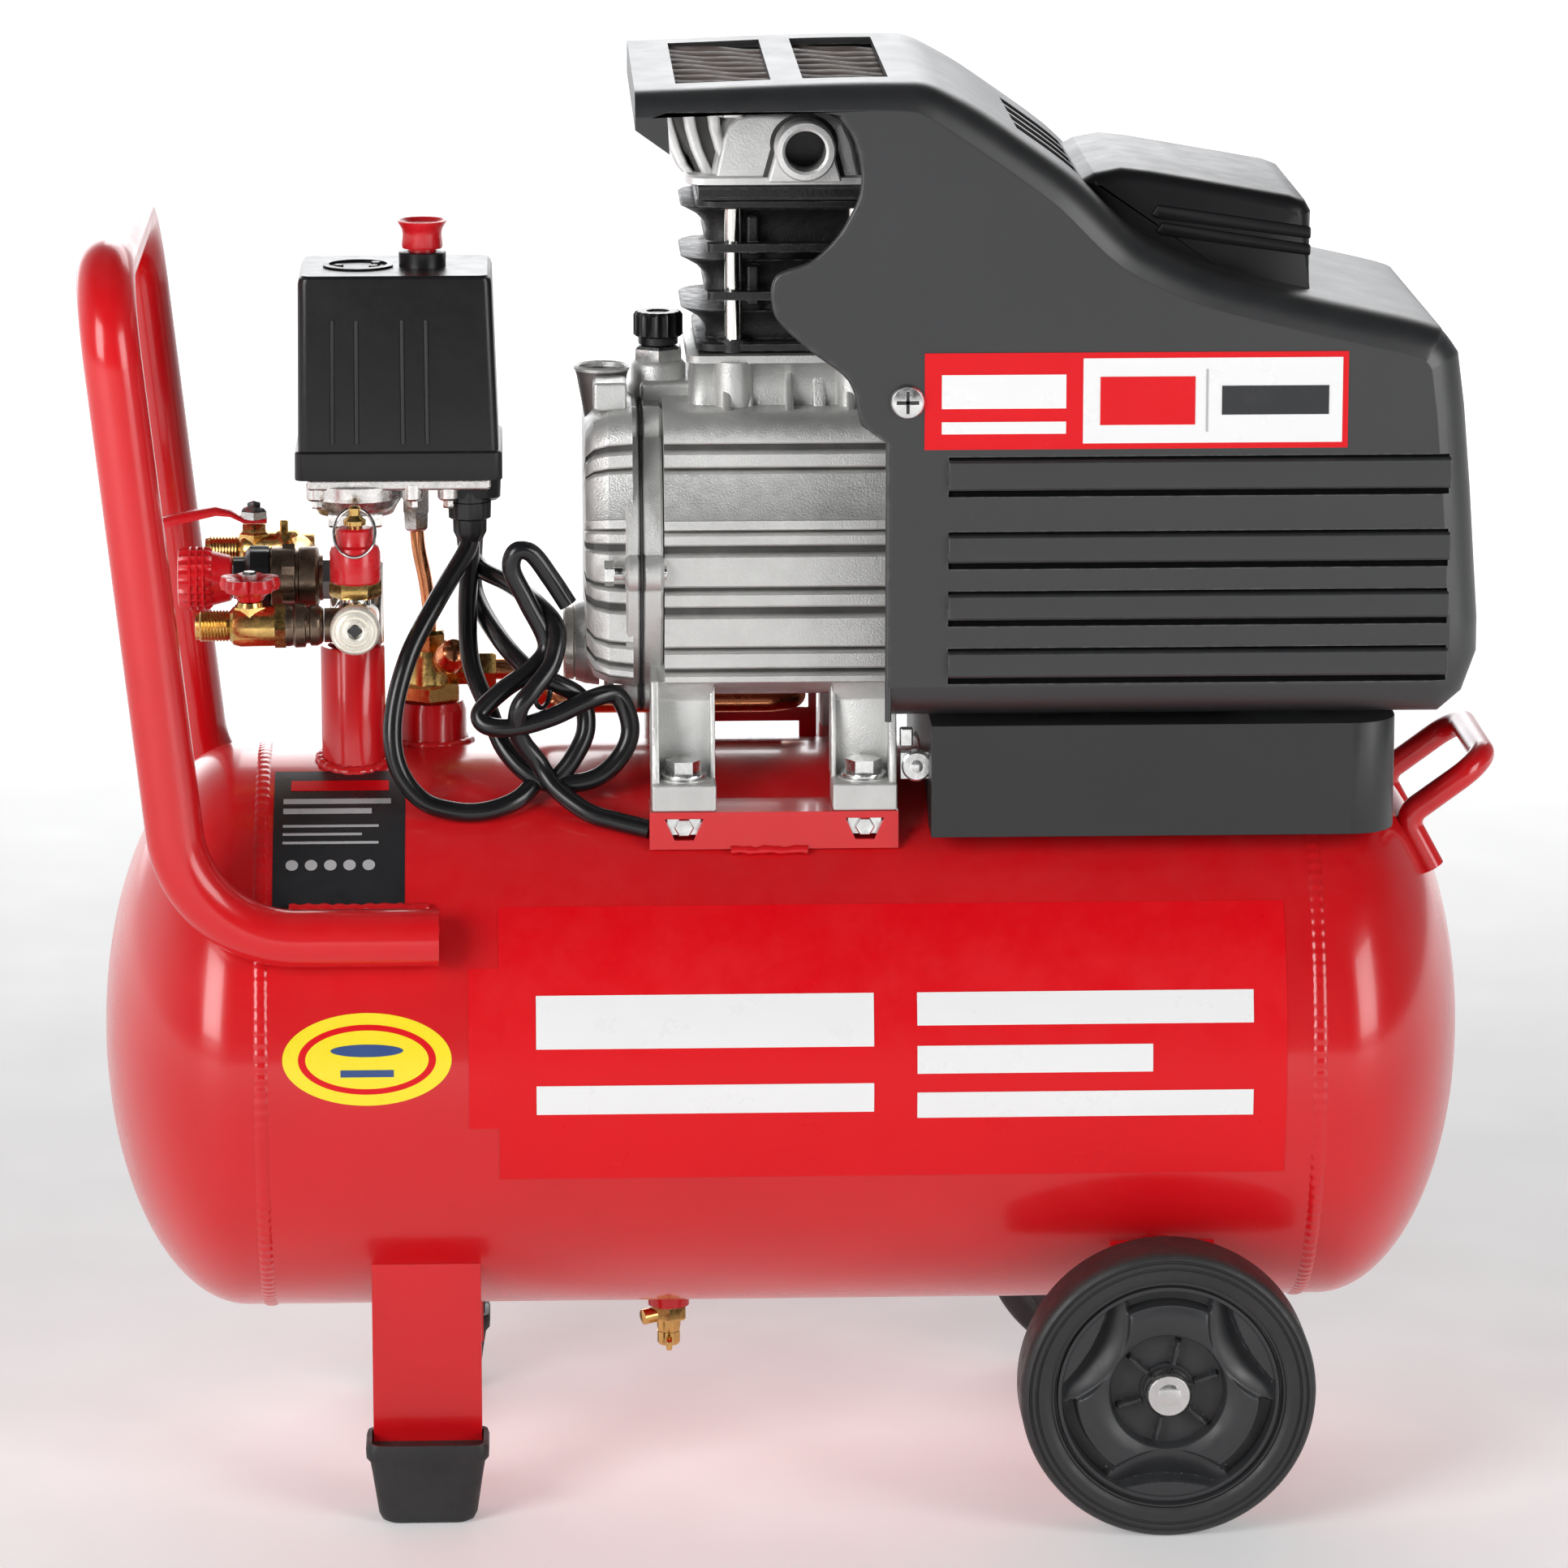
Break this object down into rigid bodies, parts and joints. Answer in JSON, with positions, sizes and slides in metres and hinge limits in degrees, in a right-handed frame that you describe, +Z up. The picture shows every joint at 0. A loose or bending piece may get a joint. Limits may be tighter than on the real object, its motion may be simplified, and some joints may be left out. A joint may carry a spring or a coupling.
{
  "type": "portable piston air compressor",
  "caption": "Single-cylinder air compressor with a direct motor on a horizontal wheeled tank, with switch, regulator and outlet cocks.",
  "frame": {"origin": "on the floor under the middle of the whole length and width", "axes": "+X along the tank towards the wheels, +Y away from the front with the outlet cocks, +Z up"},
  "size_m": [0.5938, 0.274, 0.607],
  "materials": {
    "red_paint": "glossy baked enamel",
    "cast_alloy": "shot-blasted casting",
    "machined_alloy": "machined",
    "cast_iron": "black heat-proof paint",
    "zinc_steel": "bright zinc plate",
    "chrome": "nickel plate",
    "brass": "machined",
    "bronze": "dull nickel-bronze",
    "copper": "drawn copper tube",
    "shroud_plastic": "fine moulded grain",
    "black_plastic": "moulded",
    "red_plastic": "moulded",
    "rubber": "moulded",
    "tyre": "moulded",
    "cable": "smooth sheath",
    "gasket": "graphite paper",
    "winding": "varnished copper wire",
    "clear_gauge": "polished oil window"
  },
  "bodies": {
    "chassis": {"tank_shell": "red_paint", "tank_head_left": "red_paint", "tank_head_right": "red_paint", "tank_ports": "red_paint", "carry_handle": "red_paint", "tow_handle": "red_paint", "support_brackets": "red_paint", "rubber_feet": "rubber", "axle_hardware": "zinc_steel", "pump_bracket": "red_paint", "mount_bolts": "zinc_steel", "motor_housing": "cast_alloy", "crankcase_cover": "cast_alloy", "gaskets": "gasket", "cover_screws": "zinc_steel", "sight_glass": "clear_gauge", "cylinder_barrel": "cast_iron", "bearings": "chrome", "stator_core": "zinc_steel", "stator_windings": "winding", "end_shield": "cast_alloy", "valve_plate": "zinc_steel", "cylinder_head": "cast_alloy", "head_studs": "zinc_steel", "delivery_tube": "copper", "unloader_tube": "copper", "check_valve_body": "brass", "switch_base": "machined_alloy", "switch_contacts": "winding", "switch_cover": "black_plastic", "cable_glands": "black_plastic", "cables": "cable", "manifold": "chrome", "regulator_body": "bronze", "front_cock": "brass", "rear_cock": "brass", "safety_valve": "red_plastic", "drain_cock": "brass", "shroud": "shroud_plastic", "air_scoop": "black_plastic", "lower_box": "black_plastic"},
    "crank": {"crankshaft": "zinc_steel", "rotor_core": "zinc_steel", "cooling_fan": "black_plastic"},
    "piston_group": {"piston": "machined_alloy", "piston_rings": "zinc_steel", "wrist_pin": "zinc_steel"},
    "rod": {"connecting_rod": "machined_alloy"},
    "front_wheel": {"wheel_hub_front": "black_plastic", "tyre_front": "tyre"},
    "rear_wheel": {"wheel_hub_rear": "black_plastic", "tyre_rear": "tyre"},
    "pull_knob": {"switch_knob": "red_plastic"},
    "pressure_knob": {"regulator_knob": "red_plastic"},
    "front_wing": {"front_cock_wing": "red_plastic"},
    "rear_lever": {"rear_cock_lever": "red_plastic"},
    "relief_stem": {"safety_stem": "brass"},
    "drain_tap": {"drain_wing": "brass"},
    "filler_cap": {"oil_cap": "black_plastic"},
    "poppet": {"check_poppet": "rubber"}
  },
  "joints": [
    {"name": "crank_spin", "type": "hinge", "parent": "chassis", "child": "crank", "pos_m": [0.09425, 0, 0.4], "axis": [1, 0, 0], "continuous": true},
    {"name": "piston_stroke", "type": "slide", "parent": "chassis", "child": "piston_group", "axis": [0, 0, 1], "range_m": [-0.04, 0]},
    {"name": "rod_swing", "type": "hinge", "parent": "piston_group", "child": "rod", "pos_m": [-0.00175, 0, 0.52], "axis": [1, 0, 0], "range_deg": [-11.5, 11.5]},
    {"name": "front_wheel_spin", "type": "hinge", "parent": "chassis", "child": "front_wheel", "pos_m": [0.15125, -0.121, 0.062], "axis": [0, 1, 0], "continuous": true},
    {"name": "rear_wheel_spin", "type": "hinge", "parent": "chassis", "child": "rear_wheel", "pos_m": [0.15125, 0.121, 0.062], "axis": [0, 1, 0], "continuous": true},
    {"name": "switch_pull", "type": "slide", "parent": "chassis", "child": "pull_knob", "axis": [0, 0, 1], "range_m": [0, 0.005]},
    {"name": "regulator_turn", "type": "hinge", "parent": "chassis", "child": "pressure_knob", "pos_m": [-0.24875, -0.018, 0.39], "axis": [1, 0, 0], "range_deg": [0, 720]},
    {"name": "front_cock_turn", "type": "hinge", "parent": "chassis", "child": "front_wing", "pos_m": [-0.22975, -0.046, 0.39], "axis": [0, 0, 1], "range_deg": [0, 90]},
    {"name": "rear_cock_turn", "type": "hinge", "parent": "chassis", "child": "rear_lever", "pos_m": [-0.22975, 0.016, 0.409], "axis": [0, 0, 1], "range_deg": [-90, 0]},
    {"name": "relief_lift", "type": "slide", "parent": "chassis", "child": "relief_stem", "axis": [0, 0, 1], "range_m": [0, 0.003]},
    {"name": "drain_turn", "type": "hinge", "parent": "chassis", "child": "drain_tap", "pos_m": [-0.05475, 0, 0.049], "axis": [0, 0, 1], "range_deg": [0, 180]},
    {"name": "oil_cap_turn", "type": "hinge", "parent": "chassis", "child": "filler_cap", "pos_m": [-0.05775, 0, 0.49], "axis": [0, 0, 1], "range_deg": [0, 360]},
    {"name": "check_lift", "type": "slide", "parent": "chassis", "child": "poppet", "axis": [0, 0, 1], "range_m": [0, 0.003]}
  ]
}
